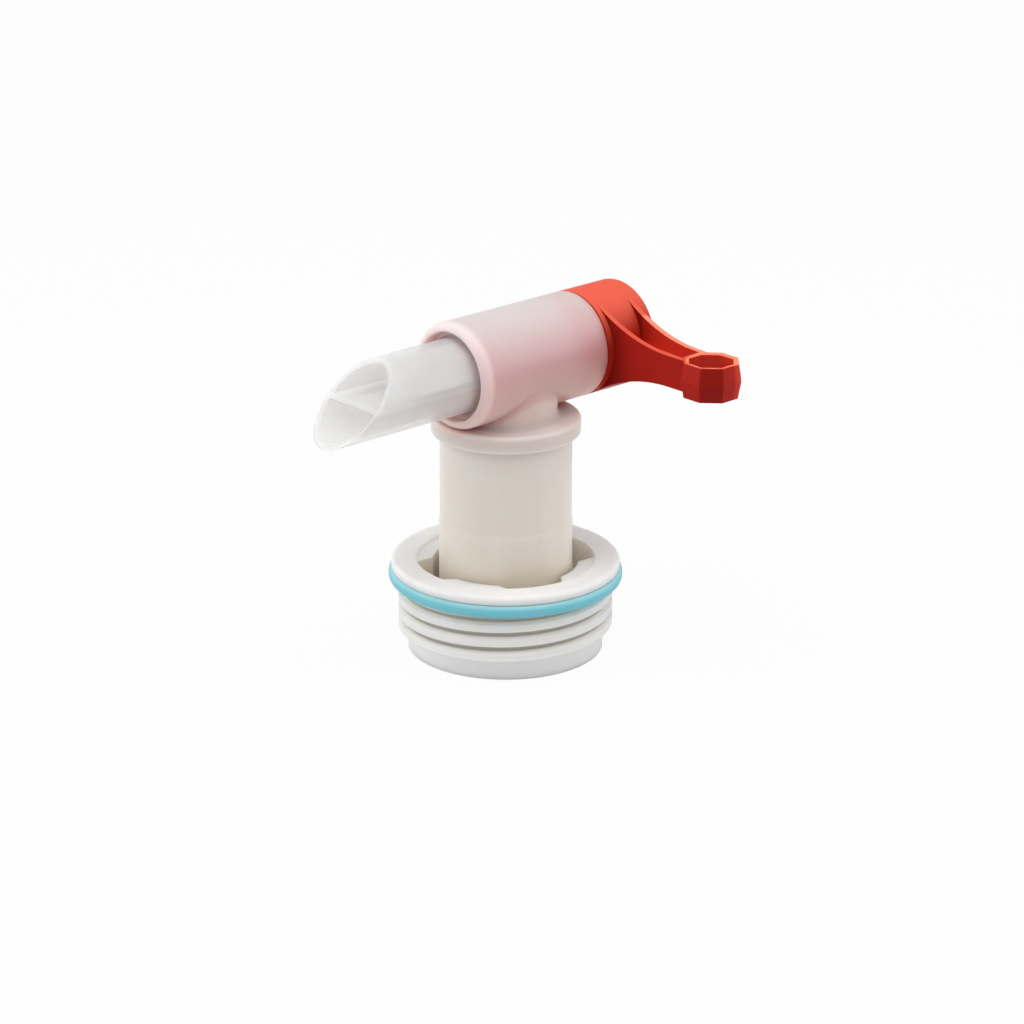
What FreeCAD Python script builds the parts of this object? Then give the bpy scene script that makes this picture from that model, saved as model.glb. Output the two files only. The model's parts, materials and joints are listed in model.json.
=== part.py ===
import FreeCAD, Part
import math
import os

# Drum drain tap, standing on the pilot end of its screw plug. Millimetres, +Z up.
# The origin is the centre of the plug's foot, and Z is the axis of the plug and the inlet tube.
# The valve axis crosses it at right angles and runs along X: spout towards -X, cap and lever at +X.
# At rest the lever points to -Y and the tap is shut.

# Screw plug
thread_major_radius = 28.0
thread_pitch = 4.0
thread_depth = 1.7
thread_crest_width = 1.9
thread_root_width = 0.7
thread_start_height = 5.8
thread_end_height = 18.1
thread_phase_angle = 227.0
thread_phase_height = 6.9
pilot_radius = 25.5
plug_skirt_wall = 2.9
flange_radius = 29.8
flange_thickness = 2.4
flange_edge_round = 1.1
lug_step_depth = 1.0
pocket_outer_radius = 23.2
pocket_depth = 9.3
pocket_floor_thickness = 2.5
pocket_inner_width = 17.2
pocket_outer_width = 14.4
pocket_count = 4
pocket_angle = 159.3
lug_clearance = 1.65
sleeve_wall = 2.25
sleeve_foot_height = 4.0

# Gasket under the flange
gasket_gap = 0.3
gasket_thickness = 3.5
gasket_overhang = 0.7
gasket_edge_round = 1.5

# Inlet tube of the tap body
tube_radius = 17.1
tube_bore_radius = 14.0
socket_tube_radius = 17.35
socket_tube_top_height = 34.5
socket_taper_height = 1.5
spigot_radius = 16.6
spigot_end_height = 0.8
swivel_clearance = 0.05
shoulder_clearance = 0.1
collar_radius = 19.3
collar_drop = 18.8
collar_thickness = 4.6
collar_edge_round = 0.9
neck_radius = 13.2
neck_bore_radius = 10.3
neck_cone_height = 3.4
neck_foot_round = 1.2

# Seal and retaining ring of the inlet tube
tube_seal_height = 9.0
tube_seal_width = 2.4
tube_seal_thickness = 1.4
seal_edge_round = 0.6
seal_clearance = 0.05
retainer_thickness = 1.4
retainer_groove_depth = 1.2
retainer_radius = 18.2
retainer_gap = 8.0
retainer_clearance = 0.1

# Barrel
valve_height = 77.4
barrel_radius = 13.9
barrel_front = -19.4
barrel_rear = 22.9
barrel_front_round = 2.1
barrel_rear_round = 0.4
mouth_groove_radius = 11.7
mouth_groove_depth = 2.8
front_wall = 1.8
chamber_radius = 11.5

# Spout
spout_radius = 9.75
spout_wall = 1.4
spout_cut_middle = -51.2
spout_cut_angle = 45.0
spout_root_round = 0.5
web_thickness = 1.2

# Ports between the barrel and the inlet
liquid_port_radius = 5.0
liquid_port_place = -3.2
air_port_radius = 1.5
air_port_place = 5.6
air_tube_wall = 0.7
air_boss_wall = 1.2
air_boss_drop = 19.9
air_tube_socket_depth = 5.2
air_tube_end_height = 2.0

# Rotor
rotor_clearance = 0.05
rotor_end_clearance = 0.2
rotor_end_chamfer = 0.5
rotor_hollow_end = 10.5
rotor_bulkhead = 2.0
rotor_core_radius = 8.0
divider_place = 2.9
divider_thickness = 1.0
rotor_seal_width = 1.9
rotor_seal_thickness = 1.35
front_seal_place = -12.9
rear_seal_place = 14.2
port_seal_centre = -0.55
port_seal_radius = 8.6
port_seal_width = 1.5
port_seal_thickness = 1.2
snap_place = 18.3
snap_width = 1.0
snap_height = 0.45
snap_clearance = 0.1

# Quarter-turn stop
stop_depth = 2.4
stop_height = 1.25
stop_half_angle = 10.0
stop_clearance_angle = 0.6
stop_clearance = 0.1
quarter_turn = 90.0

# Cap and lever
cap_clearance = 0.15
cap_length = 16.95
cap_radius = 13.9
cap_front_round = 0.5
cap_end_round = 0.8
cap_wall = 2.2
lever_wall = 1.6
lever_web = 1.8
lever_front_offset = 1.7
lever_root_width = 11.9
lever_tip_width = 9.4
lever_flare_radius = 49.0
lever_half_height = 4.1
lever_reach = 44.4
lever_shoulder = 9.0
eye_sides = 8
eye_offset = 4.4
eye_half_height = 4.5
eye_middle_width = 15.2
eye_end_width = 13.7
eye_corner_round = 0.4
eye_hole_width = 11.2
eye_hole_round = 1.2
eye_rim_chamfer = 0.3

# Sizes that follow from the ones above
thread_root_radius = thread_major_radius - thread_depth
gasket_bottom = thread_end_height + gasket_gap
gasket_outer_radius = flange_radius + gasket_overhang
flange_bottom = gasket_bottom + gasket_thickness
flange_top = flange_bottom + flange_thickness
lug_top = flange_top - lug_step_depth
pocket_floor = lug_top - pocket_depth
lug_radius = socket_tube_radius + lug_clearance
sleeve_radius = spigot_radius + swivel_clearance
shoulder_height = pocket_floor + shoulder_clearance
retainer_top = sleeve_foot_height - retainer_clearance
spout_bore_radius = spout_radius - spout_wall
front_wall_place = barrel_front + mouth_groove_depth
chamber_front = front_wall_place + front_wall
rotor_radius = chamber_radius - rotor_clearance
rotor_front = chamber_front + rotor_end_clearance
rotor_hollow_radius = spout_bore_radius
rotor_core_start = rotor_hollow_end + rotor_bulkhead
cap_start = barrel_rear + cap_clearance
cap_end = cap_start + cap_length
cap_core_start = cap_start + cap_wall
cap_core_radius = cap_radius - cap_wall
lever_front = cap_start + lever_front_offset
eye_place = lever_front + eye_offset
collar_height = valve_height - collar_drop
collar_top = collar_height + collar_thickness
air_tube_radius = air_port_radius + air_tube_wall
air_boss_radius = air_tube_radius + air_boss_wall
air_boss_end_height = valve_height - air_boss_drop
air_tube_stop_height = air_boss_end_height + air_tube_socket_depth
cutter_reach = 100.0


def vector(x, y, z):
    return FreeCAD.Vector(x, y, z)


def on_tube_axis(radius, height):
    return vector(radius, 0, height)


def on_valve_axis(x, radius):
    return vector(x, 0, valve_height + radius)


def outline(corners, place):
    """A closed wire through corners of (first, second, rounding), each rounding a tangent arc."""
    starts = []
    ends = []
    edges = []
    for index, (first, second, rounding) in enumerate(corners):
        corner = FreeCAD.Vector(first, second, 0)
        before = corners[index - 1]
        after = corners[(index + 1) % len(corners)]
        back = (FreeCAD.Vector(before[0], before[1], 0) - corner).normalize()
        ahead = (FreeCAD.Vector(after[0], after[1], 0) - corner).normalize()
        half = back.getAngle(ahead) / 2
        setback = rounding / math.tan(half)
        start = corner + back * setback
        end = corner + ahead * setback
        if rounding > 0:
            middle_way = (back + ahead).normalize()
            middle = corner + middle_way * (rounding / math.sin(half) - rounding)
            arc = Part.Arc(place(start.x, start.y), place(middle.x, middle.y), place(end.x, end.y))
            edges.append(arc.toShape())
        starts.append(start)
        ends.append(end)
    for index, end in enumerate(ends):
        start = starts[(index + 1) % len(starts)]
        if (start - end).Length > 1e-6:
            edges.append(Part.LineSegment(place(end.x, end.y), place(start.x, start.y)).toShape())
    return Part.Wire(Part.__sortEdges__(edges))


def turned_on_tube_axis(corners):
    """A solid of revolution about the plug's axis, from (radius, height, rounding) corners."""
    face = Part.Face(outline(corners, on_tube_axis))
    return face.revolve(vector(0, 0, 0), vector(0, 0, 1), 360)


def turned_on_valve_axis(corners):
    """A solid of revolution about the valve's axis, from (x, radius, rounding) corners."""
    face = Part.Face(outline(corners, on_valve_axis))
    return face.revolve(vector(0, 0, valve_height), vector(1, 0, 0), 360)


def valve_cylinder(radius, start, end):
    return Part.makeCylinder(radius, end - start, vector(start, 0, valve_height), vector(1, 0, 0))


def upright_cylinder(radius, x, bottom, top):
    return Part.makeCylinder(radius, top - bottom, vector(x, 0, bottom), vector(0, 0, 1))


def block(low, high):
    corner = vector(*low)
    return Part.makeBox(high[0] - low[0], high[1] - low[1], high[2] - low[2], corner)


def prism(points, way):
    """A straight solid over a closed polygon of points."""
    return Part.Face(Part.makePolygon(points + points[:1])).extrude(way)


def valve_sector(inner, outer, start, end, first_angle, last_angle):
    """A piece of a ring about the valve axis. Angles run from +Y towards +Z."""
    ring = turned_sector_face(inner, outer, start, end, first_angle)
    return ring.revolve(vector(0, 0, valve_height), vector(1, 0, 0), last_angle - first_angle)


def turned_sector_face(inner, outer, start, end, angle):
    way = vector(0, math.cos(math.radians(angle)), math.sin(math.radians(angle)))
    base = vector(0, 0, valve_height)
    points = []
    for x, radius in ((start, inner), (end, inner), (end, outer), (start, outer)):
        points.append(base + vector(x, 0, 0) + way * radius)
    return Part.Face(Part.makePolygon(points + points[:1]))


def export(shape, node):
    if not shape.isValid():
        print(node, "is not valid")
    print(node, "solids", len(shape.Solids), "volume", round(shape.Volume, 1))
    shape.exportStep("parts/" + node + ".step")


def drum_thread():
    """The plug's right-hand ridge: a trapezoid swept along a helix and faced off at both ends."""
    first_height = thread_phase_height - thread_pitch
    turns_height = math.ceil((thread_end_height - first_height) / thread_pitch + 1) * thread_pitch
    helix = Part.makeHelix(thread_pitch, turns_height, thread_root_radius)
    half_crest = thread_crest_width / 2
    flank_slope = (thread_pitch - thread_crest_width - thread_root_width) / 2 / thread_depth
    buried_depth = thread_depth / 6
    buried_radius = thread_root_radius - buried_depth
    half_base = half_crest + flank_slope * (thread_depth + buried_depth)
    profile = Part.makePolygon([
        vector(buried_radius, 0, -half_base),
        vector(thread_major_radius, 0, -half_crest),
        vector(thread_major_radius, 0, half_crest),
        vector(buried_radius, 0, half_base),
        vector(buried_radius, 0, -half_base),
    ])
    ridge = Part.Wire(helix).makePipeShell([profile], True, True)
    ridge.translate(vector(0, 0, first_height))
    keep = upright_cylinder(thread_major_radius + 1, 0, thread_start_height, thread_end_height)
    ridge = ridge.common(keep)
    ridge.rotate(vector(0, 0, 0), vector(0, 0, 1), thread_phase_angle)
    return ridge


def key_pocket(angle):
    """One pocket for the plug's key: it narrows outwards and ends on a round wall."""
    inner = lug_radius * math.sqrt(1 - (pocket_inner_width / 2 / lug_radius) ** 2)
    outer = pocket_outer_radius + thread_depth
    narrowing = (pocket_inner_width - pocket_outer_width) / (pocket_outer_radius - lug_radius)
    end_width = pocket_inner_width - narrowing * (outer - inner)
    points = [
        vector(inner, -pocket_inner_width / 2, pocket_floor),
        vector(outer, -end_width / 2, pocket_floor),
        vector(outer, end_width / 2, pocket_floor),
        vector(inner, pocket_inner_width / 2, pocket_floor),
    ]
    tool = prism(points, vector(0, 0, flange_top - pocket_floor + 1))
    tool = tool.common(upright_cylinder(pocket_outer_radius, 0, pocket_floor, flange_top + 1))
    tool.rotate(vector(0, 0, 0), vector(0, 0, 1), angle)
    return tool


def screw_plug():
    sleeve_outside = sleeve_radius + sleeve_wall
    skirt_inside = pilot_radius - plug_skirt_wall
    floor_bottom = pocket_floor - pocket_floor_thickness
    plug = turned_on_tube_axis([
        (sleeve_radius, sleeve_foot_height, 0),
        (sleeve_outside, sleeve_foot_height, 0),
        (sleeve_outside, floor_bottom, 0),
        (skirt_inside, floor_bottom, 0),
        (skirt_inside, 0, 0),
        (pilot_radius, 0, 0),
        (pilot_radius, thread_start_height, 0),
        (thread_root_radius, thread_start_height, 0),
        (thread_root_radius, flange_bottom, 0),
        (flange_radius, flange_bottom, flange_edge_round / 3),
        (flange_radius, flange_top, flange_edge_round),
        (pocket_outer_radius, flange_top, flange_edge_round / 3),
        (pocket_outer_radius, lug_top, 0),
        (lug_radius, lug_top, 0),
        (lug_radius, pocket_floor, 0),
        (sleeve_radius, pocket_floor, 0),
    ])
    plug = plug.fuse(drum_thread())
    for index in range(pocket_count):
        plug = plug.cut(key_pocket(pocket_angle + index * 360 / pocket_count))
    return plug.removeSplitter()


def plug_gasket():
    return turned_on_tube_axis([
        (thread_root_radius, gasket_bottom, 0),
        (gasket_outer_radius, gasket_bottom, gasket_edge_round),
        (gasket_outer_radius, flange_bottom, gasket_edge_round),
        (thread_root_radius, flange_bottom, 0),
    ])


def tube_seal_groove():
    """Bottom, top and floor radius of the groove that holds the inlet tube's seal."""
    half = tube_seal_width / 2 + seal_clearance
    floor = spigot_radius - tube_seal_thickness - seal_clearance
    return tube_seal_height - half, tube_seal_height + half, floor


def inlet_tube():
    """Spigot, tube, collar and neck, with their bore, up to the valve axis."""
    seal_bottom, seal_top, seal_floor = tube_seal_groove()
    retainer_floor = spigot_radius - retainer_groove_depth
    retainer_bottom = retainer_top - retainer_thickness
    cone_bottom = collar_height
    cone_top = collar_height + neck_cone_height
    return turned_on_tube_axis([
        (tube_bore_radius, spigot_end_height, 0),
        (spigot_radius, spigot_end_height, seal_edge_round),
        (spigot_radius, retainer_bottom - seal_clearance, 0),
        (retainer_floor, retainer_bottom - seal_clearance, 0),
        (retainer_floor, retainer_top + seal_clearance, 0),
        (spigot_radius, retainer_top + seal_clearance, 0),
        (spigot_radius, seal_bottom, 0),
        (seal_floor, seal_bottom, 0),
        (seal_floor, seal_top, 0),
        (spigot_radius, seal_top, 0),
        (spigot_radius, shoulder_height, 0),
        (socket_tube_radius, shoulder_height, 0),
        (socket_tube_radius, socket_tube_top_height, 0),
        (tube_radius, socket_tube_top_height + socket_taper_height, 0),
        (tube_radius, collar_height, neck_foot_round / 2),
        (collar_radius, collar_height, collar_edge_round),
        (collar_radius, collar_top, collar_edge_round),
        (neck_radius, collar_top, neck_foot_round),
        (neck_radius, valve_height, 0),
        (neck_bore_radius, valve_height, 0),
        (neck_bore_radius, cone_top, 0),
        (tube_bore_radius, cone_bottom, 0),
    ])


def barrel_and_spout():
    """The barrel with its mouth groove, front wall and chamber, and the straight spout tube."""
    snap_half = snap_width / 2 + snap_clearance
    snap_floor = rotor_radius + snap_height + snap_clearance
    spout_end = spout_cut_middle - 2 * spout_radius
    return turned_on_valve_axis([
        (barrel_rear, barrel_radius, barrel_rear_round),
        (barrel_rear, chamber_radius, 0),
        (snap_place + snap_half, chamber_radius, 0),
        (snap_place + snap_half, snap_floor, 0),
        (snap_place - snap_half, snap_floor, 0),
        (snap_place - snap_half, chamber_radius, 0),
        (chamber_front, chamber_radius, 0),
        (chamber_front, spout_bore_radius, 0),
        (spout_end, spout_bore_radius, 0),
        (spout_end, spout_radius, 0),
        (front_wall_place, spout_radius, spout_root_round),
        (front_wall_place, mouth_groove_radius, spout_root_round),
        (barrel_front, mouth_groove_radius, 0),
        (barrel_front, barrel_radius, barrel_front_round),
    ])


def spout_web():
    """The level web that parts air from liquid, up to the slanted mouth."""
    half = web_thickness / 2
    width = math.sqrt(spout_radius ** 2 - half ** 2) - spout_wall / 2
    low = (spout_cut_middle - spout_radius, -width, valve_height - half)
    high = (chamber_front, width, valve_height + half)
    return block(low, high)


def spout_cutter():
    """Takes off all that lies in front of the slanted mouth, which is longest at the plug's side."""
    slant = math.tan(math.radians(spout_cut_angle))
    low = valve_height - cutter_reach
    high = valve_height + cutter_reach
    far = spout_cut_middle - 2 * cutter_reach
    points = [
        vector(spout_cut_middle - cutter_reach / slant, -cutter_reach, low),
        vector(spout_cut_middle + cutter_reach / slant, -cutter_reach, high),
        vector(far, -cutter_reach, high),
        vector(far, -cutter_reach, low),
    ]
    return prism(points, vector(0, 2 * cutter_reach, 0))


def stop_recess():
    """The quarter-turn arc in the barrel's rear end in which the rotor's stop lug travels."""
    first = -quarter_turn - stop_half_angle - stop_clearance_angle
    last = stop_half_angle + stop_clearance_angle
    outer = rotor_radius + stop_height + stop_clearance
    inner = chamber_radius - stop_height
    return valve_sector(inner, outer, barrel_rear - stop_depth - stop_clearance, barrel_rear + 1, first, last)


def tap_body():
    wall_middle = (chamber_radius + barrel_radius) / 2
    neck = inlet_tube().cut(valve_cylinder(wall_middle, -cutter_reach, cutter_reach))
    body = barrel_and_spout().fuse(neck)
    boss_top = valve_height - wall_middle
    body = body.fuse(upright_cylinder(air_boss_radius, air_port_place, air_boss_end_height, boss_top))
    web = spout_web()
    body = body.fuse(web)
    body = body.cut(spout_cutter())
    body = body.cut(upright_cylinder(liquid_port_radius, liquid_port_place, collar_top - 3, valve_height))
    body = body.cut(upright_cylinder(air_port_radius, air_port_place, air_boss_end_height - 1, valve_height))
    socket_start = air_boss_end_height - 1
    socket = upright_cylinder(air_tube_radius, air_port_place, socket_start, air_tube_stop_height)
    body = body.cut(socket)
    body = body.cut(stop_recess())
    return body.removeSplitter()


def air_tube():
    outside = upright_cylinder(air_tube_radius, air_port_place, air_tube_end_height, air_tube_stop_height)
    inside = upright_cylinder(air_port_radius, air_port_place, air_tube_end_height, air_tube_stop_height)
    return outside.cut(inside)


def tube_seal():
    outer = spigot_radius
    inner = outer - tube_seal_thickness
    half = tube_seal_width / 2
    return turned_on_tube_axis([
        (inner, tube_seal_height - half, seal_edge_round),
        (outer, tube_seal_height - half, seal_edge_round),
        (outer, tube_seal_height + half, seal_edge_round),
        (inner, tube_seal_height + half, seal_edge_round),
    ])


def retaining_ring():
    """A split ring in the spigot's groove, just under the plug's sleeve."""
    bottom = retainer_top - retainer_thickness
    inner = spigot_radius - retainer_groove_depth + seal_clearance
    ring = turned_on_tube_axis([
        (inner, bottom, 0),
        (retainer_radius, bottom, 0),
        (retainer_radius, retainer_top, 0),
        (inner, retainer_top, 0),
    ])
    half_gap = retainer_gap / 2
    gap = block((-half_gap, 0, bottom - 1), (half_gap, retainer_radius + 1, retainer_top + 1))
    return ring.cut(gap)


def rotor_seal(place):
    """A ring seal on the rotor, pressed to the section of its groove."""
    half = rotor_seal_width / 2
    inner = rotor_radius - rotor_seal_thickness
    return turned_on_valve_axis([
        (place - half, inner, seal_edge_round),
        (place + half, inner, seal_edge_round),
        (place + half, rotor_radius, seal_edge_round),
        (place - half, rotor_radius, seal_edge_round),
    ])


def port_saddle(inner, outer, floor, top):
    """A ring around both ports, as cut from a tube that stands under the valve axis."""
    low = valve_height - cutter_reach
    standing = upright_cylinder(outer, port_seal_centre, low, valve_height)
    standing = standing.cut(upright_cylinder(inner, port_seal_centre, low, valve_height))
    shell = valve_cylinder(top, -cutter_reach, cutter_reach).cut(
        valve_cylinder(floor, -cutter_reach, cutter_reach))
    return standing.common(shell)


def port_seal():
    half = port_seal_width / 2
    floor = rotor_radius - port_seal_thickness
    return port_saddle(port_seal_radius - half, port_seal_radius + half, floor, rotor_radius)


def port_seal_groove():
    half = port_seal_width / 2 + seal_clearance
    floor = rotor_radius - port_seal_thickness - seal_clearance
    return port_saddle(port_seal_radius - half, port_seal_radius + half, floor, chamber_radius)


def rotor_hollow():
    """The two ways through the rotor: liquid on the +Y side, air on the -Y side and behind the divider."""
    hollow = valve_cylinder(rotor_hollow_radius, rotor_front - 1, rotor_hollow_end)
    half_web = web_thickness / 2
    divider_end = divider_place + divider_thickness / 2
    divider_start = divider_place - divider_thickness / 2
    low = valve_height - chamber_radius
    high = valve_height + chamber_radius
    web = block((rotor_front - 2, -half_web, low), (divider_end, half_web, high))
    divider = block((divider_start, -half_web, low), (divider_end, chamber_radius, high))
    return hollow.cut(web).cut(divider)


def side_window(radius, place):
    """A window through the rotor's wall on its +Y side."""
    start = rotor_hollow_radius / 2
    return Part.makeCylinder(radius, chamber_radius, vector(place, start, valve_height), vector(0, 1, 0))


def seal_groove_corners(place):
    """The three sides of a ring groove in the rotor, from front to rear."""
    half = rotor_seal_width / 2 + seal_clearance
    floor = rotor_radius - rotor_seal_thickness - seal_clearance
    return [
        (place - half, rotor_radius, 0),
        (place - half, floor, 0),
        (place + half, floor, 0),
        (place + half, rotor_radius, 0),
    ]


def rotor_and_cap():
    """Rotor, snap bead and cap in one turning, cored out from the cap's end."""
    snap_half = snap_width / 2
    snap_radius = rotor_radius + snap_height
    corners = [(rotor_front, 0, 0), (rotor_front, rotor_radius, rotor_end_chamfer)]
    corners += seal_groove_corners(front_seal_place)
    corners += seal_groove_corners(rear_seal_place)
    corners += [
        (snap_place - snap_half, rotor_radius, 0),
        (snap_place - snap_half / 2, snap_radius, 0),
        (snap_place + snap_half / 2, snap_radius, 0),
        (snap_place + snap_half, rotor_radius, 0),
        (cap_start, rotor_radius, 0),
        (cap_start, cap_radius, cap_front_round),
        (cap_end, cap_radius, cap_end_round),
        (cap_end, cap_core_radius, 0),
        (cap_core_start, cap_core_radius, 0),
        (cap_core_start, rotor_core_radius, 0),
        (rotor_core_start, rotor_core_radius, 0),
        (rotor_core_start, 0, 0),
    ]
    return turned_on_valve_axis(corners)


def stop_lug():
    inner = rotor_radius - stop_height
    outer = rotor_radius + stop_height
    start = barrel_rear - stop_depth
    return valve_sector(inner, outer, start, cap_start + 1, -stop_half_angle, stop_half_angle)


def lever_plan(wall, tip):
    """Plan outline of the arm, drawn in by a wall: straight in front, narrowing at the back."""
    front = lever_front + wall
    root = lever_front + lever_root_width - wall
    end = lever_front + lever_tip_width - wall
    return [
        vector(front, 0, 0),
        vector(front, -tip, 0),
        vector(end, -tip, 0),
        vector(root, -lever_shoulder, 0),
        vector(root, 0, 0),
    ]


def lever_side_profile(tip):
    """Side outline of the arm: two arcs, each tangent to the cap and to the arm's level edge."""
    sum_radius = cap_radius + lever_flare_radius
    centre_rise = lever_half_height + lever_flare_radius
    flare_end = math.sqrt(sum_radius ** 2 - centre_rise ** 2)
    touch_y = -flare_end * cap_radius / sum_radius
    touch_z = centre_rise * cap_radius / sum_radius
    middle_angle = (math.asin(flare_end / sum_radius)) / 2
    middle_y = -flare_end + lever_flare_radius * math.sin(middle_angle)
    middle_z = centre_rise - lever_flare_radius * math.cos(middle_angle)

    def place(y, z):
        return vector(0, y, valve_height + z)

    edges = []
    for side in (1, -1):
        touch = place(touch_y, side * touch_z)
        middle = place(middle_y, side * middle_z)
        level_start = place(-flare_end, side * lever_half_height)
        level_end = place(-tip, side * lever_half_height)
        edges.append(Part.Arc(touch, middle, level_start).toShape())
        edges.append(Part.LineSegment(level_start, level_end).toShape())
    edges.append(Part.LineSegment(place(-tip, lever_half_height), place(-tip, -lever_half_height)).toShape())
    edges.append(Part.LineSegment(place(touch_y, -touch_z), place(touch_y, touch_z)).toShape())
    return Part.Face(Part.Wire(Part.__sortEdges__(edges)))


def lever_arm():
    """Two flared walls joined by a level web, so that the arm's section is like an H."""
    tip = lever_reach - lever_tip_width / 2
    side = lever_side_profile(tip).extrude(vector(cutter_reach, 0, 0))
    low = valve_height - cap_radius
    plan = prism(lever_plan(0, tip), vector(0, 0, 2 * cap_radius))
    plan.translate(vector(0, 0, low))
    arm = side.common(plan)
    pocket = prism(lever_plan(lever_wall, tip), vector(0, 0, 2 * cap_radius))
    pocket.translate(vector(0, 0, low))
    half_web = lever_web / 2
    web = block((0, -cutter_reach, valve_height - half_web), (cutter_reach, 1, valve_height + half_web))
    pocket = pocket.cut(web).cut(valve_cylinder(cap_radius, 0, cutter_reach))
    return arm.cut(pocket)


def eye_section(width, rounding, height):
    """One level outline of the eight-sided eye. Its sides face along and across the arm."""
    corner_radius = width / 2 / math.cos(math.pi / eye_sides)
    corners = []
    for index in range(eye_sides):
        angle = (index + 0.5) * 2 * math.pi / eye_sides
        x = eye_place + corner_radius * math.cos(angle)
        y = -lever_reach + corner_radius * math.sin(angle)
        corners.append((x, y, rounding))

    def place(x, y):
        return vector(x, y, height)

    return outline(corners, place)


def lever_eye():
    """The eye at the arm's end, widest at its middle, where the mould parted."""
    middle = eye_section(eye_middle_width, eye_corner_round, valve_height)
    top = eye_section(eye_end_width, eye_corner_round, valve_height + eye_half_height)
    bottom = eye_section(eye_end_width, eye_corner_round, valve_height - eye_half_height)
    return Part.makeLoft([middle, top], True, True).fuse(Part.makeLoft([bottom, middle], True, True))


def eye_hole():
    """The eight-sided hole of the eye, with a chamfered rim at both ends."""
    low = valve_height - cap_radius
    hole = Part.Face(eye_section(eye_hole_width, eye_hole_round, low)).extrude(vector(0, 0, 2 * cap_radius))
    for side in (1, -1):
        face_height = valve_height + side * eye_half_height
        inner_height = face_height - side * eye_rim_chamfer
        outer_height = face_height + side * eye_rim_chamfer
        inner = eye_section(eye_hole_width, eye_hole_round, inner_height)
        outer = eye_section(eye_hole_width + 4 * eye_rim_chamfer, eye_hole_round, outer_height)
        hole = hole.fuse(Part.makeLoft([inner, outer], True, True))
    return hole


def lever_rotor():
    rotor = rotor_and_cap().cut(rotor_hollow())
    rotor = rotor.cut(side_window(liquid_port_radius, liquid_port_place))
    rotor = rotor.cut(side_window(air_port_radius, air_port_place))
    rotor = rotor.cut(port_seal_groove())
    core = valve_cylinder(cap_core_radius, cap_core_start, cap_end + 1)
    arm = lever_arm().cut(core).fuse(lever_eye()).cut(eye_hole())
    rotor = rotor.fuse(stop_lug()).fuse(arm)
    return rotor.removeSplitter()


os.makedirs("parts", exist_ok=True)
export(screw_plug(), "screw_plug")
export(plug_gasket(), "plug_gasket")
export(tap_body(), "tap_body")
export(air_tube(), "air_tube")
export(tube_seal(), "tube_seal")
export(retaining_ring(), "retaining_ring")
export(lever_rotor(), "lever_rotor")
export(port_seal(), "port_seal")
export(rotor_seal(front_seal_place), "front_rotor_seal")
export(rotor_seal(rear_seal_place), "rear_rotor_seal")
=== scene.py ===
import json

import bpy
from mathutils import Euler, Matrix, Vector

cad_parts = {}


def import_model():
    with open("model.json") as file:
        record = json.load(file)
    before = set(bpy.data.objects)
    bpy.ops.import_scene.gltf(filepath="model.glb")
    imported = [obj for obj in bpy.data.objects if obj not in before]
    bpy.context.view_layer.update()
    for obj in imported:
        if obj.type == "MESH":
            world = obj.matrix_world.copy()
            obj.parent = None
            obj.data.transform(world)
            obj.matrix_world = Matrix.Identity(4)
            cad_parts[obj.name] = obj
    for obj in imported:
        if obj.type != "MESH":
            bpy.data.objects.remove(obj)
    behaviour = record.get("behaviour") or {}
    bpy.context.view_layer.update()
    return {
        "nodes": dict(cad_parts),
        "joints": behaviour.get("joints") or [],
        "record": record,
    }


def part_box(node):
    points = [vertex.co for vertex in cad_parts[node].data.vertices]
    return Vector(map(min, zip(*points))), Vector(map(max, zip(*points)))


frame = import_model()

nodes = frame["nodes"]
joints = {joint["name"]: joint for joint in frame["joints"]}
mounts = {mount["name"]: mount for mount in frame["record"]["mounts"]}
millimetre = 0.001

# Places on the tap body, in metres
valve_height = joints["lever_turn"]["pos_m"][2]
body_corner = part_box("tap_body")[1]
barrel_radius = body_corner.z - valve_height
barrel_rear = body_corner.x
barrel_front = -0.0194
mouth_depth = 0.0028
front_wall = barrel_front + mouth_depth
rotor_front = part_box("lever_rotor")[0].x
spout_radius = mounts["spout"]["dims"]["r_mm"] * millimetre
beyond_tip = -0.065
# Where the barrel's painted red glow deepens toward the cap
cap_glow_start = 0.008
cap_glow_end = 0.018
collar_drop = 0.0188
collar_thickness = 0.0046
collar_bottom = valve_height - collar_drop
collar_top = collar_bottom + collar_thickness
tube_low = 0.022
tube_middle = 0.030

# Heights from the valve axis between which the shade below the spout's web fades out
web_shade_low = -0.0012
web_shade_high = -0.0004

# Places on the screw plug and its gasket
thread_bottom = mounts["pilot"]["dims"]["length_mm"] * millimetre
thread_depth = 0.0017
thread_root = mounts["drum_thread"]["dims"]["r_mm"] * millimetre - thread_depth
gasket_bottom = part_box("plug_gasket")[0].z
flange_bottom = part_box("plug_gasket")[1].z
flange_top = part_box("screw_plug")[1].z
lug_drop = 0.001
lug_top = flange_top - lug_drop
well_radius = 0.0232

# Places on the lever
lever_middle = 0.0305
arm_start = -0.0135
cap_shade_start = -0.022
cap_shade_end = -0.012
eye_start = -0.035
eye_x, eye_y = mounts["lever_eye"]["pos_m"][:2]
hole_corner = 0.0006
eye_hole_radius = mounts["lever_eye"]["dims"]["r_mm"] * millimetre + hole_corner

# The surface's faint mottle, uneven gloss, grain and streaks
mottle_scale = 55
gloss_scale = 160
grain_scale = 900
grain_strength = 0.12
grain_height = 0.00003
streak_scale = 180
streak_stretch = (1.0, 1.0, 0.04)
white = (1.0, 1.0, 1.0)

# The length that a subsurface radius of 1 stands for
thick_wall_scatter = 0.001
spout_scatter = 0.0002
well_scatter = 0.0

# How opaque the thin spout is, and how far ahead of the barrel that starts to rise
spout_tip_cover = 0.38
spout_root_cover = 0.60
cover_reach = 0.022

# Light, with left and right as the photograph shows them
left_to_right = (0.707, -0.707, 0.0)
left_light = 1.75
right_light = 1.25
all_round_light = 0.24
top_light_power = 4.5

# Floor, just below the part
floor_size = 12
floor_height = -0.0002
floor_glow = 0.94

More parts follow.
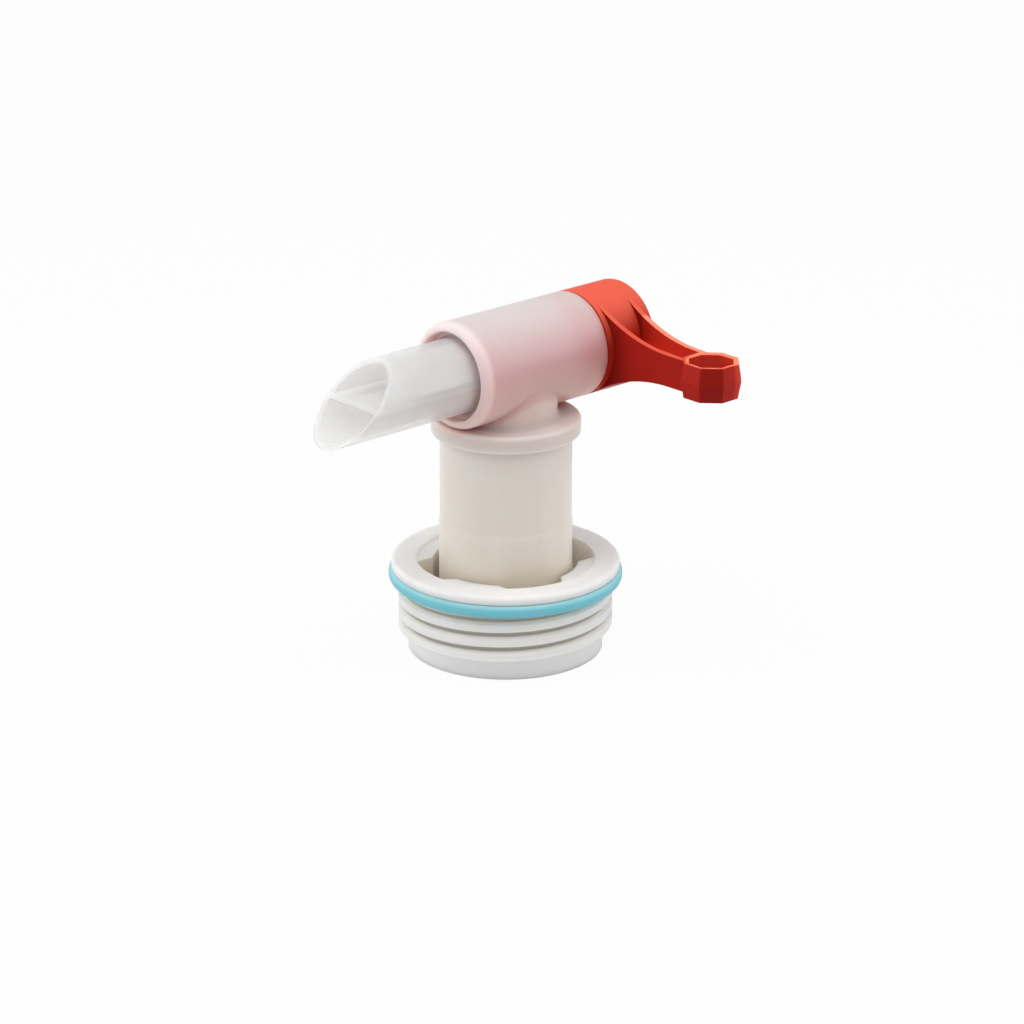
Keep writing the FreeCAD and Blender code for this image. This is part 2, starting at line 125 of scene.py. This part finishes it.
# Camera, at the photograph's viewing angle
camera_place = (-0.567112, -0.614549, 0.346608)
camera_turn = (1.2155244, -0.0042630, -0.7456493)
camera_lens = 120.859


# Node helpers

def principled(name, color, roughness):
    material = bpy.data.materials.new(name)
    material.use_nodes = True
    shader = material.node_tree.nodes["Principled BSDF"]
    shader.inputs["Base Color"].default_value = (*color, 1)
    shader.inputs["Roughness"].default_value = roughness
    return material, material.node_tree, shader


def add(tree, kind, **settings):
    node = tree.nodes.new(kind)
    for key, value in settings.items():
        setattr(node, key, value)
    return node


def fill(tree, socket, value):
    """Links a socket's value, or sets it where it is a plain number or colour."""
    if isinstance(value, bpy.types.NodeSocket):
        tree.links.new(value, socket)
    elif isinstance(value, tuple):
        socket.default_value = (*value, 1) if len(value) == 3 else value
    else:
        socket.default_value = value


def coordinate(tree, kind):
    return add(tree, "ShaderNodeTexCoord").outputs[kind]


def split(tree, vector):
    node = add(tree, "ShaderNodeSeparateXYZ")
    tree.links.new(vector, node.inputs[0])
    return node.outputs["X"], node.outputs["Y"], node.outputs["Z"]


def axes_of(tree):
    """The place on the part, in metres in its own frame."""
    return split(tree, coordinate(tree, "Object"))


def facing_of(tree):
    """The direction that the surface faces, in the part's own frame."""
    return split(tree, coordinate(tree, "Normal"))


def math_node(tree, operation, first, second=0.0):
    node = add(tree, "ShaderNodeMath", operation=operation)
    fill(tree, node.inputs[0], first)
    fill(tree, node.inputs[1], second)
    return node.outputs[0]


def product(tree, first, second):
    return math_node(tree, "MULTIPLY", first, second)


def distance(tree, first, second):
    first_square = math_node(tree, "POWER", first, 2.0)
    second_square = math_node(tree, "POWER", second, 2.0)
    return math_node(tree, "SQRT", math_node(tree, "ADD", first_square, second_square))


def mapped(tree, value, from_low, from_high, to_low, to_high, smooth=False):
    """The value carried from one range to another, evenly or with smooth ends, and kept within it."""
    node = add(tree, "ShaderNodeMapRange")
    node.interpolation_type = "SMOOTHSTEP" if smooth else "LINEAR"
    ends = {"From Min": from_low, "From Max": from_high, "To Min": to_low, "To Max": to_high}
    for key, number in ends.items():
        node.inputs[key].default_value = number
    tree.links.new(value, node.inputs["Value"])
    return node.outputs["Result"]


def rising(tree, value, start, end, smooth=True):
    """0 before the start and 1 beyond the end."""
    return mapped(tree, value, start, end, 0.0, 1.0, smooth)


def falling(tree, value, start, end, smooth=True):
    """1 before the start and 0 beyond the end."""
    return mapped(tree, value, start, end, 1.0, 0.0, smooth)


def noise(tree, scale, detail=3.0, roughness=0.5, stretch=(1.0, 1.0, 1.0)):
    mapping = add(tree, "ShaderNodeMapping")
    mapping.inputs["Scale"].default_value = stretch
    texture = add(tree, "ShaderNodeTexNoise")
    texture.inputs["Scale"].default_value = scale
    texture.inputs["Detail"].default_value = detail
    texture.inputs["Roughness"].default_value = roughness
    tree.links.new(coordinate(tree, "Object"), mapping.inputs["Vector"])
    tree.links.new(mapping.outputs["Vector"], texture.inputs["Vector"])
    return texture.outputs["Fac"]


def ramp(tree, value, stops):
    """A colour ramp from (position, colour) stops."""
    node = add(tree, "ShaderNodeValToRGB")
    elements = node.color_ramp.elements
    while len(elements) < len(stops):
        elements.new(0.5)
    for element, (position, color) in zip(elements, stops):
        element.position = position
        element.color = (*color, 1)
    tree.links.new(value, node.inputs["Fac"])
    return node.outputs["Color"]


def place_ramp(tree, value, stops):
    """A colour ramp along a length, from (metres, colour) stops."""
    low, high = stops[0][0], stops[-1][0]
    share = mapped(tree, value, low, high, 0.0, 1.0)
    return ramp(tree, share, [((place - low) / (high - low), color) for place, color in stops])


def mixed(tree, share, first, second, blend="MIX"):
    """Mixes two colours, which the node takes at its sockets 6 and 7 and gives at 2."""
    node = add(tree, "ShaderNodeMix", data_type="RGBA", blend_type=blend)
    fill(tree, node.inputs[0], share)
    fill(tree, node.inputs[6], first)
    fill(tree, node.inputs[7], second)
    return node.outputs[2]


def tinted(tree, share, color, tint):
    """The colour, multiplied by the tint where the share is 1."""
    return mixed(tree, share, color, mixed(tree, 1.0, color, tint, "MULTIPLY"))


def soft_edges(tree, shader, radius):
    """Rounds the shading of edges and gives the surface a faint grain."""
    height = noise(tree, grain_scale, detail=2)
    edge = add(tree, "ShaderNodeBevel", samples=8)
    edge.inputs["Radius"].default_value = radius
    bump = add(tree, "ShaderNodeBump")
    bump.inputs["Strength"].default_value = grain_strength
    bump.inputs["Distance"].default_value = grain_height
    tree.links.new(height, bump.inputs["Height"])
    tree.links.new(edge.outputs["Normal"], bump.inputs["Normal"])
    tree.links.new(bump.outputs["Normal"], shader.inputs["Normal"])


def moulded(name, color, roughness, subsurface, radius, specular=0.5, sheen=0.0, edge=0.0003,
            cover=None, depth=None):
    """A moulded plastic: faint mottle in its colour, uneven gloss, rounded edges, light that seeps in.

    color is one colour, or a function that paints by place. roughness is its lowest and highest
    value, and edge the radius of the rounding. cover and depth, where given, are functions for how
    opaque the wall is and for the length that a subsurface radius of 1 stands for.
    """
    one_color = isinstance(color, tuple)
    material, tree, shader = principled(name, color if one_color else (0.8, 0.8, 0.8), roughness[0])
    paint = color if one_color else color(tree)
    patches = noise(tree, mottle_scale, detail=4, roughness=0.6)
    mottle = ramp(tree, patches, [(0.3, (0.955, 0.95, 0.945)), (0.7, white)])
    gloss = mapped(tree, noise(tree, gloss_scale), 0.3, 0.7, *roughness)
    fill(tree, shader.inputs["Base Color"], mixed(tree, 1.0, paint, mottle, "MULTIPLY"))
    fill(tree, shader.inputs["Roughness"], gloss)
    shader.inputs["Specular IOR Level"].default_value = specular
    shader.inputs["Subsurface Weight"].default_value = subsurface
    shader.inputs["Subsurface Radius"].default_value = radius
    shader.inputs["Subsurface Scale"].default_value = thick_wall_scatter
    shader.inputs["IOR"].default_value = 1.45
    shader.inputs["Sheen Weight"].default_value = sheen
    shader.inputs["Sheen Roughness"].default_value = 0.35
    if cover:
        fill(tree, shader.inputs["Alpha"], cover(tree))
    if depth:
        fill(tree, shader.inputs["Subsurface Scale"], depth(tree))
    soft_edges(tree, shader, edge)
    return material


# Tap body

def from_valve_axis(tree):
    """How far a place lies from the axis that the rotor turns about, which runs along X."""
    x, y, z = axes_of(tree)
    return distance(tree, math_node(tree, "SUBTRACT", z, valve_height), y)


def beyond_spout(tree):
    """0 within the spout's outer radius of the valve axis, and 1 farther out."""
    return rising(tree, from_valve_axis(tree), spout_radius + 0.0002, spout_radius + 0.0008)


def body_cover(tree):
    """The thin spout lets part of what is behind it through; thicker walls only glow."""
    x, y, z = axes_of(tree)
    start = barrel_front - cover_reach
    spout = mapped(tree, x, start, front_wall, spout_tip_cover, spout_root_cover, smooth=True)
    return math_node(tree, "MAXIMUM", spout, beyond_spout(tree))


def body_depth(tree):
    """Light travels far in the thick walls and only a little way in the thin spout."""
    x, y, z = axes_of(tree)
    behind_mouth = rising(tree, x, front_wall - 0.0004, front_wall + 0.0004)
    thick = math_node(tree, "MAXIMUM", beyond_spout(tree), behind_mouth)
    return mapped(tree, thick, 0, 1, spout_scatter, thick_wall_scatter)


def spout_paint(tree, x, rise):
    """White, with a faint painted pink glow of the rotor at its root, and painted shade inside its
    mouth and below its web.
    """
    # Painted pink glow of the rotor toward the spout's root
    paint = place_ramp(tree, x, [
        (beyond_tip, (0.99, 0.99, 0.985)),
        (barrel_front - 0.012, (1.0, 0.985, 0.98)),
        (barrel_front - 0.001, (1.0, 0.92, 0.92)),
    ])
    # Painted shade below the web, where the web shows through the thin wall
    below_web_shade = falling(tree, rise, web_shade_low, web_shade_high)
    paint = tinted(tree, below_web_shade, paint, (0.90, 0.89, 0.88))
    from_axis = from_valve_axis(tree)
    # Painted shade on the bore's inner wall near the tip
    inside = falling(tree, from_axis, spout_radius - 0.0010, spout_radius - 0.0006, smooth=False)
    near_tip = falling(tree, x, barrel_front - 0.018, barrel_front - 0.012)
    return tinted(tree, product(tree, inside, near_tip), paint, (0.88, 0.88, 0.88))


def barrel_paint(tree, x, rise):
    """Painted red glow of the rotor through the barrel's wall, most on its sides and toward its rear
    rim, and paler toward its top as painted light from above.
    """
    # Painted glow by height, with painted light making the top paler
    glow = place_ramp(tree, rise, [
        (-barrel_radius, (0.74, 0.49, 0.46)),
        (-0.003, (0.70, 0.46, 0.43)),
        (0.002, (0.68, 0.42, 0.42)),
        (0.006, (0.71, 0.48, 0.49)),
        (0.010, (0.74, 0.58, 0.58)),
        (barrel_radius, (0.76, 0.68, 0.67)),
    ])
    # Painted glow, deeper toward the cap
    toward_cap = rising(tree, x, cap_glow_start, cap_glow_end)
    glow = tinted(tree, toward_cap, glow, (1.0, 0.88, 0.88))
    # Painted glow, redder and brighter on the rear rim
    rim = rising(tree, x, barrel_rear - 0.0016, barrel_rear - 0.0006)
    return tinted(tree, rim, glow, (1.2, 0.74, 0.70))


def mouth_paint(tree, rise):
    """Pink on the barrel's mouth, which is ahead of the rotor, painted as the rotor's red glow, darker
    toward the bottom and paler toward the top.
    """
    return place_ramp(tree, rise, [
        (-barrel_radius, (0.78, 0.57, 0.52)),
        (0.002, (0.82, 0.61, 0.60)),
        (barrel_radius, (0.88, 0.74, 0.74)),
    ])


def tube_paint(tree, z):
    """Cream on the inlet tube, with painted shade on the collar and the pinker neck above it, which
    lie under the barrel, and faint upright streaks.
    """
    paint = place_ramp(tree, z, [
        (tube_low, (0.87, 0.80, 0.70)),
        (tube_middle, (0.85, 0.79, 0.71)),
        # Painted shade on the collar and on the pinker neck above it, under the barrel
        (collar_bottom - 0.003, (0.87, 0.81, 0.75)),
        (collar_bottom + 0.001, (0.72, 0.66, 0.63)),
        (collar_top, (0.72, 0.65, 0.62)),
        (collar_top + 0.002, (0.80, 0.65, 0.59)),
    ])
    upright = noise(tree, streak_scale, detail=2, stretch=streak_stretch)
    streaks = ramp(tree, upright, [(0.35, (0.97, 0.965, 0.96)), (0.65, white)])
    return mixed(tree, 1.0, paint, streaks, "MULTIPLY")


def body_paint(tree):
    """The spout, the barrel's mouth, the barrel and the tube below, each with its own colour and its
    own painted glow and shade.
    """
    x, y, z = axes_of(tree)
    rise = math_node(tree, "SUBTRACT", z, valve_height)
    from_axis = from_valve_axis(tree)
    ahead = rising(tree, x, rotor_front - 0.0012, rotor_front - 0.0032)
    on_spout = falling(tree, from_axis, spout_radius + 0.0002, spout_radius + 0.0008)
    below = rising(tree, from_axis, barrel_radius + 0.0006, barrel_radius + 0.002)
    paint = mixed(tree, ahead, barrel_paint(tree, x, rise), mouth_paint(tree, rise))
    paint = mixed(tree, product(tree, on_spout, ahead), paint, spout_paint(tree, x, rise))
    return mixed(tree, below, paint, tube_paint(tree, z))


# Screw plug and gasket

def well_share(tree):
    """1 on the walls of the plug's well and key pockets, 0 on its flange, lugs and thread."""
    x, y, z = axes_of(tree)
    within = falling(tree, distance(tree, x, y), well_radius - 0.0002, well_radius + 0.0006)
    under = falling(tree, z, lug_top - 0.0005, lug_top - 0.0001)
    return product(tree, within, under)


def plug_paint(tree):
    """White flange and thread, with painted shade in the thread's roots and a painted cream glow of
    light through the plastic in the well.
    """
    x, y, z = axes_of(tree)
    # The pilot and the flange's top are painted lighter than the thread, as painted light
    shell = place_ramp(tree, z, [
        (0.0, (0.97, 0.965, 0.96)),
        (thread_bottom, (0.97, 0.965, 0.96)),
        (thread_bottom + 0.001, (0.88, 0.87, 0.85)),
        (flange_bottom - 0.001, (0.88, 0.87, 0.84)),
        (flange_top, (0.93, 0.925, 0.905)),
    ])
    # Painted shade in the thread's roots
    root = falling(tree, distance(tree, x, y), thread_root + 0.0001, thread_root + 0.0008)
    above_pilot = rising(tree, z, thread_bottom - 0.0002, thread_bottom + 0.0002, smooth=False)
    below_flange = falling(tree, z, gasket_bottom - 0.0002, gasket_bottom + 0.0002, smooth=False)
    thread_root_shade = product(tree, root, product(tree, above_pilot, below_flange))
    shell = mixed(tree, thread_root_shade, shell, (0.62, 0.60, 0.54))
    # Painted cream glow in the well, for light coming through the plastic
    return mixed(tree, well_share(tree), shell, (0.98, 0.93, 0.84))


def plug_depth(tree):
    """Light seeps into the flange and thread, and stays at the surface in the well."""
    return mapped(tree, well_share(tree), 0, 1, thick_wall_scatter, well_scatter)


def gasket_paint(tree):
    """Blue, and paler toward the flange as a painted highlight."""
    x, y, z = axes_of(tree)
    return place_ramp(tree, z, [
        (gasket_bottom, (0.16, 0.53, 0.63)),
        (flange_bottom - 0.0012, (0.19, 0.58, 0.68)),
        (flange_bottom, (0.42, 0.74, 0.80)),
    ])


# Lever

def lever_paint(tree):
    """A warm red, with painted light making it paler on faces that look up, on the rear wall, in the
    eye's hole and on the cap.

    It is deeper with painted shade on the eye's corner facets, and with a painted shadow of the barrel
    on the cap's faces that look toward the spout.
    """
    x, y, z = axes_of(tree)
    facing_x, facing_y, facing_z = facing_of(tree)
    # Painted light from above: faces that look up are painted brighter and paler
    lit_from_above = rising(tree, facing_z, 0.05, 0.95)
    red = mixed(tree, lit_from_above, (0.40, 0.013, 0.007), (0.84, 0.105, 0.062))

    across_eye = math_node(tree, "SUBTRACT", x, eye_x)
    along_eye = math_node(tree, "SUBTRACT", y, eye_y)
    from_eye = distance(tree, across_eye, along_eye)
    hole = falling(tree, from_eye, eye_hole_radius, eye_hole_radius + 0.0003, smooth=False)
    # Painted light on the rear wall's inner face and in the eye's hole
    behind = rising(tree, x, lever_middle - 0.001, lever_middle + 0.001)
    on_arm = falling(tree, y, arm_start - 0.0015, arm_start)
    lit = math_node(tree, "MAXIMUM", product(tree, behind, on_arm), hole)
    red = tinted(tree, lit, red, (1.5, 3.0, 3.0))
    # Painted light on the cap
    on_cap = rising(tree, y, arm_start - 0.0015, arm_start)
    red = tinted(tree, on_cap, red, (1.05, 1.25, 1.25))

    # Painted shade on the eye's diagonal facets
    diagonal = rising(tree, product(tree, facing_x, facing_y), 0.40, 0.48, smooth=False)
    on_eye = falling(tree, y, eye_start - 0.001, eye_start, smooth=False)
    corner = product(tree, diagonal, math_node(tree, "SUBTRACT", on_eye, hole))
    red = tinted(tree, corner, red, (0.68, 0.55, 0.50))

    # Painted shadow of the barrel on the faces beside it that look toward the spout
    beside_barrel = rising(tree, y, cap_shade_start, cap_shade_end)
    forward = rising(tree, facing_x, -0.4, -0.9, smooth=False)
    return tinted(tree, product(tree, beside_barrel, forward), red, (0.6, 0.5, 0.5))


# Materials

plug_plastic = moulded("plug_plastic", plug_paint, roughness=(0.42, 0.5), subsurface=1.0,
                       radius=(3.0, 2.9, 2.6), sheen=0.2, depth=plug_depth)
body_plastic = moulded("body_plastic", body_paint, roughness=(0.34, 0.42), subsurface=1.0,
                       radius=(4.0, 3.6, 3.3), sheen=0.4, edge=0.0005, cover=body_cover,
                       depth=body_depth)
lever_plastic = moulded("lever_plastic", lever_paint, roughness=(0.38, 0.46), subsurface=0.0,
                        radius=(1.0, 0.3, 0.2), specular=0.1)
gasket_rubber = moulded("gasket_rubber", gasket_paint, roughness=(0.38, 0.5), subsurface=0.15,
                        radius=(0.6, 1.0, 1.2), specular=0.4)
seal_rubber = moulded("seal_rubber", (0.78, 0.76, 0.72), roughness=(0.45, 0.55), subsurface=0.3,
                      radius=(1.5, 1.3, 1.1))

by_node = {
    "screw_plug": plug_plastic,
    "retaining_ring": plug_plastic,
    "plug_gasket": gasket_rubber,
    "tap_body": body_plastic,
    "air_tube": body_plastic,
    "lever_rotor": lever_plastic,
    "tube_seal": seal_rubber,
    "port_seal": seal_rubber,
    "front_rotor_seal": seal_rubber,
    "rear_rotor_seal": seal_rubber,
}
for name, material in by_node.items():
    mesh_slots = nodes[name].data.materials
    mesh_slots.clear()
    mesh_slots.append(material)


# Floor, light and camera

def floor():
    """A pale floor that the camera sees as white, apart from the part's faint shadow."""
    bpy.ops.mesh.primitive_plane_add(size=floor_size, location=(0, 0, floor_height))
    plane = bpy.context.active_object
    plane.name = "floor"
    material, tree, shader = principled("floor_paint", (0.82, 0.82, 0.82), 0.9)
    shader.inputs["Specular IOR Level"].default_value = 0.0
    path = add(tree, "ShaderNodeLightPath")
    glow = add(tree, "ShaderNodeEmission")
    glow.inputs["Strength"].default_value = 1.0
    mix = add(tree, "ShaderNodeMixShader")
    glossy, transmitted = path.outputs["Is Glossy Ray"], path.outputs["Is Transmission Ray"]
    indirect = math_node(tree, "MAXIMUM", glossy, transmitted)
    seen = math_node(tree, "MAXIMUM", path.outputs["Is Camera Ray"], indirect)
    tree.links.new(mapped(tree, seen, 0, 1, 0.0, floor_glow), mix.inputs["Fac"])
    tree.links.new(shader.outputs["BSDF"], mix.inputs[1])
    tree.links.new(glow.outputs["Emission"], mix.inputs[2])
    tree.links.new(mix.outputs["Shader"], tree.nodes["Material Output"].inputs["Surface"])
    plane.data.materials.append(material)


def world():
    """Soft light from all round, strongest from the left and right, and white where it is seen."""
    sky = bpy.data.worlds.new("studio")
    bpy.context.scene.world = sky
    sky.use_nodes = True
    tree = sky.node_tree
    sideways = add(tree, "ShaderNodeVectorMath", operation="DOT_PRODUCT")
    sideways.inputs[1].default_value = left_to_right
    tree.links.new(coordinate(tree, "Generated"), sideways.inputs[0])
    side = sideways.outputs["Value"]
    side_light = mapped(tree, side, -1, 1, left_light, right_light)
    light = product(tree, math_node(tree, "POWER", side, 2.0), side_light)
    light = math_node(tree, "ADD", light, all_round_light)
    path = add(tree, "ShaderNodeLightPath")
    light = math_node(tree, "MAXIMUM", light, path.outputs["Is Camera Ray"])
    tree.nodes["Background"].inputs["Color"].default_value = (1, 1, 1, 1)
    tree.links.new(light, tree.nodes["Background"].inputs["Strength"])


def softbox(name, place, target, size, power):
    light = bpy.data.lights.new(name, "AREA")
    light.shape = "RECTANGLE"
    light.size, light.size_y = size
    light.energy = power
    lamp = bpy.data.objects.new(name, light)
    lamp.location = place
    lamp.rotation_euler = (Vector(target) - Vector(place)).to_track_quat("-Z", "Y").to_euler()
    lamp.visible_camera = False
    bpy.context.scene.collection.objects.link(lamp)


def camera():
    data = bpy.data.cameras.new("camera")
    data.sensor_width = 36
    data.lens = camera_lens
    data.clip_start = 0.01
    data.clip_end = 30
    view = bpy.data.objects.new("camera", data)
    view.location = camera_place
    view.rotation_euler = Euler(camera_turn, "XYZ")
    bpy.context.scene.collection.objects.link(view)
    bpy.context.scene.camera = view


floor()
world()
softbox("top_light", place=(-0.15, -0.1, 0.9), target=(0, 0, 0.05), size=(0.8, 0.8),
        power=top_light_power)
camera()
bpy.context.scene.view_settings.view_transform = "Standard"
